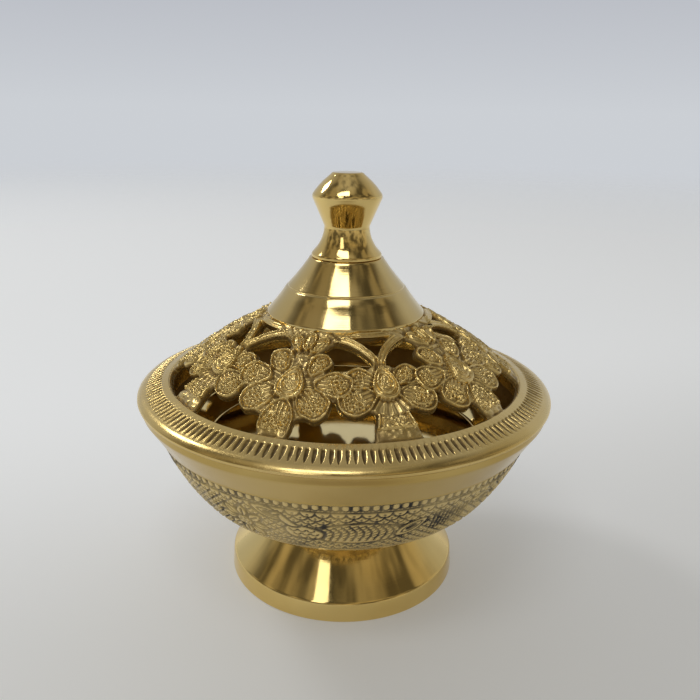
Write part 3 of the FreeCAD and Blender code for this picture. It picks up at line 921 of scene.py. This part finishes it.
def lay_upper_motif(relief, angle, radius, middle, seed):
    """A flower that hangs from the spire's foot by a neck with three buds."""
    x, y = on_motif(angle, radius, middle)
    grain = grains(x, y, PIT_SIZE, seed)
    neck_half = 1.7 + 0.13 * np.clip(y - 4.5, 0, 20) ** 1.6
    neck = np.minimum((neck_half - np.abs(x)) * 0.85, y - 1)
    veins = 0.2 * ridge(np.abs(x), neck_half * 0.45, 0.25) - 0.25 * ridge(np.abs(x), neck_half * 0.75, 0.16)
    relief.lay(neck, 0.2 + veins - 0.25 * ridge(x, 0, 0.2) * smooth(y, 7.5, 8.5))
    for place, heading in BUDS:
        inside, _, across = petal(x, y, place, 2.9, 1.45, heading)
        edge = 0.35 + 0.3 * ridge(inside, 0.2, 0.16) - 0.3 * ridge(inside, 0.5, 0.15)
        relief.lay(inside, edge + 0.25 * ridge(across, 0, 0.2))
    lay_disc(relief, x, y, 8.0, 1.2, 22, 0.8)
    inside, along, across = petal(x, y, (0, -8.7), 5.2, 3.6, 180)
    step = smooth(-y, 11.0, 11.4)
    lift = petal_relief(inside, along, across, grain, seed)
    relief.lay(inside, lift * (1 - step) + step * (0.15 + 0.12 * noise(x, y, 0.8, seed)))
    lay_petals(relief, x, y, UPPER_PETALS, grain, seed, 1)
    lay_heart(relief, x, y, grain, 0.3, 2.9, 0.55, 0.5, 0.38)


EDGE_ROUND = 0.5
SPIRE_RING = 20.7  # outer radius of the plain ring that the spire stands on
NEAR_ANGLE = 60  # a motif further away than this doesn't reach a sector


def dome_relief(angle, radius):
    """(mm inside the metal, mm above the plain dome) at each place."""
    relief = Relief(angle.shape)
    rim = (SPIRE_RING - radius) / math.cos(SLOPE)
    relief.lay(rim, 0.75 - 0.3 * ridge(rim, 0.9, 0.2) - 1.1 * smooth(rim, 1.7, 2.1))
    low, high = angle.min() - NEAR_ANGLE, angle.max() + NEAR_ANGLE
    near = [k for k in range(-1, MOTIF_PAIRS + 1) if low < LOWER_MOTIF + k * PAIR_ANGLE < high]
    for k in near:
        lay_vines(relief, angle, radius, LOWER_MOTIF + k * PAIR_ANGLE)
    for k in near:
        lay_lower_motif(relief, angle, radius, LOWER_MOTIF + k * PAIR_ANGLE, 100 + k % MOTIF_PAIRS)
    for k in near + [near[0] - 1]:
        lay_upper_motif(relief, angle, radius, UPPER_MOTIF + k * PAIR_ANGLE, 200 + k % MOTIF_PAIRS)
    collar = (radius - MOUTH_RADIUS) / math.cos(SLOPE)
    relief.lay(collar, np.full(angle.shape, 0.45))
    x, y = radius * np.radians(angle), radius / math.cos(SLOPE)
    lift = relief.lift - 0.2 + 0.06 * noise(x, y, 1.1, 31) + 0.08 * noise(x, y, 4.0, 32)
    near_edge = np.clip(1 - relief.inside / EDGE_ROUND, 0, 1)
    return relief.inside, lift - EDGE_ROUND * (1 - np.sqrt(1 - near_edge ** 2))


def cut_grid(inside, rows, columns):
    """Triangles over the part of a grid where inside > 0, with new points on the edges that it crosses.

    Gives triangles, the boundary's segments (metal on their left), and each new point's two grid
    points with its share of the way between them. New points are numbered after the grid's.
    """
    a, b, c, d = grid_cells(rows, columns)
    even = (a // columns + a % columns) % 2 == 0
    first = np.stack([a, b, np.where(even, c, d)], 1)
    second = np.stack([np.where(even, a, b), c, d], 1)
    triangles = np.concatenate([first, second])
    metal = inside[triangles] > 0
    count = metal.sum(1)
    whole = triangles[count == 3]
    one, two = triangles[count == 1], triangles[count == 2]
    lone = np.argmax(metal[count == 1], 1)
    odd = np.argmin(metal[count == 2], 1)
    one = np.take_along_axis(one, (lone[:, None] + np.arange(3)) % 3, 1)
    two = np.take_along_axis(two, (odd[:, None] + np.arange(3)) % 3, 1)
    crossed = np.concatenate([one[:, [0, 1]], one[:, [0, 2]], two[:, [0, 1]], two[:, [0, 2]]])
    crossed.sort(axis=1)
    pairs, number = np.unique(crossed, axis=0, return_inverse=True)
    number = number.ravel() + rows * columns
    near_one, far_one, near_two, far_two = np.split(number, np.cumsum([len(one), len(one), len(two)]))
    cut = [whole, np.c_[one[:, 0], near_one, far_one], np.c_[near_two, two[:, 1:]],
           np.c_[near_two, two[:, 2], far_two]]
    boundary = np.concatenate([np.c_[near_one, far_one], np.c_[far_two, near_two]])
    share = inside[pairs[:, 0]] / (inside[pairs[:, 0]] - inside[pairs[:, 1]])
    return np.concatenate(cut), boundary, pairs, share


DOME_COLUMNS = 1200
DOME_STEP = 0.2
DOME_INNER = 18.4
DOME_OUTER = 43.4
WALL_LEVELS = (0.0, 0.12, 0.9, 1.0)  # shares of the way from the carved face to the back


def dome_sector(k):
    """One lower and one upper motif: carved face, plain back and the walls of the openings."""
    span = DOME_COLUMNS // MOTIF_PAIRS
    columns = np.arange(-2, span + 3)
    rows = round((DOME_OUTER - DOME_INNER) / math.cos(SLOPE) / DOME_STEP) + 1
    start = FIRST_GAP + k * PAIR_ANGLE
    angles = start + columns * 360 / DOME_COLUMNS
    across, up = (grid.ravel() for grid in np.meshgrid(angles, np.linspace(DOME_OUTER, DOME_INNER, rows)))
    inside, _ = dome_relief(across, up)
    least = 0.03  # keeps the edge off the grid's points, so that no triangle there is a sliver
    inside = np.where(np.abs(inside) < least, np.where(inside < 0, -least, least), inside)
    triangles, boundary, pairs, share = cut_grid(inside, rows, len(columns))
    across = np.concatenate([across, across[pairs[:, 0]] * (1 - share) + across[pairs[:, 1]] * share])
    up = np.concatenate([up, up[pairs[:, 0]] * (1 - share) + up[pairs[:, 1]] * share])
    on_face, lift = dome_relief(across, up)
    count = len(across)
    face = on_dome(across, up, lift)
    back = on_dome(across, up, np.full(count, -LEAF_WALL))
    levels = [face] + [face * (1 - depth) + back * depth for depth in WALL_LEVELS[1:-1]] + [back]
    points = np.concatenate(levels)
    sides = []
    for level in range(len(levels) - 1):
        a, b = boundary[:, 0] + level * count, boundary[:, 1] + level * count
        sides.append(halves(a, a + count, b + count, b))
    everything = np.concatenate([triangles, triangles[:, ::-1] + (len(levels) - 1) * count] + sides)
    normals = mesh_normals(points, everything)
    where = np.tile(across, len(levels))[everything].mean(1)
    everything = everything[(where > start) & (where < start + PAIR_ANGLE)]
    # Painted shade: the walls of the openings darken towards the back of the dome; the low places of the
    # carved face hold residue.
    wall_grime = [np.full(count, depth * 0.35 + 0.1) for depth in WALL_LEVELS[1:]]
    grime = np.concatenate([smooth(-lift, -0.1, 0.35) * 0.8] + wall_grime)
    everything, points, normals, grime = only_used(everything, points, normals, grime)
    piece("lid_leaf_%d" % (k + 1), points, everything, normals, CARVED, "lid", "lid_dome", "lid_brass",
          grime=grime)


def crown():
    """The plain disc under the spire that carries the rod."""
    turned_piece("lid_crown", [
        (ROD_HOLE, CROWN[1] - DOME_WALL),
        (DOME_INNER + 0.4, CROWN[1] - DOME_WALL),
        (DOME_INNER + 0.4, CROWN[1] - 0.05),
        (ROD_HOLE, CROWN[1] - 0.05),
    ], TURNED, "lid", "lid_brass", soft=0.1, stands_for="lid_dome")


# ---- spire and knob

SPIRE_RADIUS = reach("spire_cone")
SPIRE_TOP = (8.7, top("spire_cone"))
GROOVE = (14.1, 74.0)
GROOVE_WIDTH = 0.38
SPIRE_BEND = 50.0
KNOB_NECK = (5.3, 88.0)
KNOB_WIDEST = (8.15, 94.9)


def spire():
    low = bottom("spire_cone")
    turned_piece("spire", [
        (SPIRE_RADIUS - WALL, low),
        (SPIRE_RADIUS, low),
        (SPIRE_RADIUS, low + 1.2, -SPIRE_BEND),
        (GROOVE[0] + GROOVE_WIDTH / 2, GROOVE[1] - GROOVE_WIDTH / 2),
        (GROOVE[0] - GROOVE_WIDTH, GROOVE[1]),
        (GROOVE[0] - GROOVE_WIDTH / 2, GROOVE[1] + GROOVE_WIDTH / 2, -SPIRE_BEND),
        SPIRE_TOP,
        (ROD_HOLE, SPIRE_TOP[1]),
        (ROD_HOLE, SPIRE_TOP[1] - WALL),
        (SPIRE_TOP[0] - WALL, SPIRE_TOP[1] - WALL),
        (SPIRE_RADIUS - WALL * 1.5, low + WALL),
    ], TURNED, "lid", "spire_brass", soft=0.13, stands_for="spire_cone")


def knob():
    low, high = bottom("finial_knob"), top("finial_knob")
    bore = ROD_RADIUS + 0.02
    turned_piece("knob", [
        (0, top("finial_rod")),
        (bore, top("finial_rod")),
        (bore, low),
        (reach("finial_knob"), low),
        (reach("finial_knob"), low + 0.9, -9.0),
        KNOB_NECK,
        (KNOB_WIDEST[0], KNOB_WIDEST[1] - 0.35),
        (KNOB_WIDEST[0], KNOB_WIDEST[1] + 0.35, KNOB_WIDEST[0] * 2),
        (4.2, high - 0.7),
        (3.5, high),
        (0, high),
    ], POLISHED, "lid", "knob_brass", soft=0.22, closed=False, stands_for="finial_knob")


def fasteners():
    """Hidden or underside hardware keeps its CAD shape."""
    for node in ("finial_rod", "finial_washer", "finial_nut", "foot_bolt", "foot_washer", "foot_nut"):
        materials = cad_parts[node].data.materials
        materials.clear()
        materials.append(STEEL)


foot()
bowl_body()
engraved_skin()
dish()
brim()
for sector in range(MOTIF_PAIRS):
    dome_sector(sector)
crown()
spire()
knob()
fasteners()


# ---- floor, light and camera

FLOOR_RINGS = (0.0001, 0.25, 0.5, 0.9, 1.5, 2.5)  # metres, as is all that follows
FLOOR_HEIGHT = -0.00005
FLOOR_STEPS = 96
BACKDROP = (  # the height of the view, from 0, level, to 1, straight up, and the colour there
    (0.0, (0.60, 0.625, 0.66)),
    (0.13, (0.50, 0.52, 0.565)),
    (0.5, (0.50, 0.50, 0.51)),
    (0.9, (0.30, 0.29, 0.28)),
)
ROOM = (
    (0.0, (0.34, 0.31, 0.26)),
    (0.35, (0.28, 0.25, 0.19)),
    (0.65, (0.26, 0.22, 0.15)),
    (0.74, (0.19, 0.165, 0.12)),
    (0.88, (0.20, 0.18, 0.14)),
    (0.98, (0.29, 0.28, 0.27)),
)
MIDDLE = (0, 0, 0.05)
CAMERA_PLACE = (0, -0.172, 0.114)
CAMERA_TURNS = (("Z", -0.4), ("X", 90 - 18.2), ("Z", 1.0))  # a little to the right, down, and a slight tilt


def floor_paper():
    """Pale paper with painted light: a painted gradient makes it dimmer to the front right, a painted
    shadow darkens it close in front of the burner, and it glows a little by itself; it fades out far away.
    """
    material = bpy.data.materials.new("floor_paper")
    n = Nodes(material)
    x, y, _ = n.split(n.add("TexCoord", {}).outputs["Object"])
    # Painted light and shade: the paper's colour is lighter towards the back left and dimmer towards the
    # front right.
    lit = n.ranged(n.maths("SUBTRACT", y, n.maths("MULTIPLY", x, 0.35)), -0.10, 0.16)
    tint = n.blend(lit, (0.73, 0.745, 0.75), (0.84, 0.87, 0.90))
    # Painted shadow: the paper is darker in a round patch close in front of the burner.
    from_painted_shadow = n.length(x, n.maths("ADD", y, 0.17))
    tint = n.blend(n.ranged(from_painted_shadow, 0.02, 0.13), (0.47, 0.44, 0.40), tint)
    n.feed(n.shader, {
        "Base Color": tint,
        # Painted light: the paper glows in its own colour, more where the painted gradient is lighter.
        "Emission Color": tint,
        "Emission Strength": n.ranged(lit, 0.0, 1.0, 0.20, 0.31),
        "Roughness": 0.75,
        "Alpha": n.ranged(n.length(x, y), 0.35, 1.6, 1.0, 0.0),
    })
    return material


def floor():
    turns = np.arange(FLOOR_STEPS) * 360 / FLOOR_STEPS
    points = around(turns, np.array(FLOOR_RINGS)[:, None], FLOOR_HEIGHT)
    a = np.arange(len(points) - FLOOR_STEPS)
    b = a // FLOOR_STEPS * FLOOR_STEPS + (a + 1) % FLOOR_STEPS
    faces = np.stack([a, a + FLOOR_STEPS, b + FLOOR_STEPS, b], 1)
    mesh = bpy.data.meshes.new("floor")
    mesh.from_pydata(points.tolist(), [], faces.tolist())
    mesh.materials.append(floor_paper())
    added("floor", mesh)


def surroundings():
    """Soft room light: a pale backdrop all round, and a dim, warm room in front for the reflections."""
    world = bpy.data.worlds.new("studio")
    bpy.context.scene.world = world
    n = Nodes(world, "Background")
    direction = n.add("TexCoord", {}).outputs["Generated"]
    _, behind, height = n.split(direction)
    backdrop = n.ramp(height, BACKDROP)
    furniture = n.ranged(n.clouds(direction, 3.5, 3.0), 0.40, 0.60, 0.4, 1.7, "LINEAR")
    room = n.add("VectorMath", {0: n.ramp(height, ROOM), "Scale": furniture}, operation="SCALE")
    mirrored = n.blend(n.ranged(behind, 0.0, 0.5, 1.0, 0.0), backdrop, room.outputs[0])
    seen = n.add("LightPath", {}).outputs["Is Camera Ray"]
    n.feed(n.shader, {"Color": n.blend(seen, mirrored, backdrop)})


def softbox(name, place, target, size, power):
    """A rectangular lamp that shines from its place at the target."""
    lamp = bpy.data.lights.new(name, "AREA")
    lamp.shape = "RECTANGLE"
    lamp.size, lamp.size_y = size
    lamp.energy = power
    made = added(name, lamp)
    made.visible_camera = False
    turn = (Vector(place) - Vector(target)).to_track_quat("Z", "Y")
    made.matrix_world = Matrix.Translation(place) @ turn.to_matrix().to_4x4()


def camera():
    """A close viewpoint a little above the burner."""
    lens = bpy.data.cameras.new("camera")
    lens.lens = 37.8
    lens.sensor_width = 36
    lens.clip_start = 0.01
    stand = Matrix.Translation(CAMERA_PLACE)
    for axis, degrees in CAMERA_TURNS:
        stand = stand @ Matrix.Rotation(math.radians(degrees), 4, axis)
    made = added("camera", lens)
    made.matrix_world = stand
    bpy.context.scene.camera = made


floor()
surroundings()
softbox("overhead", (-0.15, -0.355, 0.85), (-0.15, 0, 0.05), (0.44, 0.17), 0.85)
softbox("key", (-0.9, 0.6, 1.0), MIDDLE, (0.3, 0.3), 3.0)
softbox("strip", (-0.19, -0.44, 0.42), (0, -0.02, 0.01), (0.12, 0.32), 0.20)
camera()
bpy.context.scene.view_settings.view_transform = "Standard"
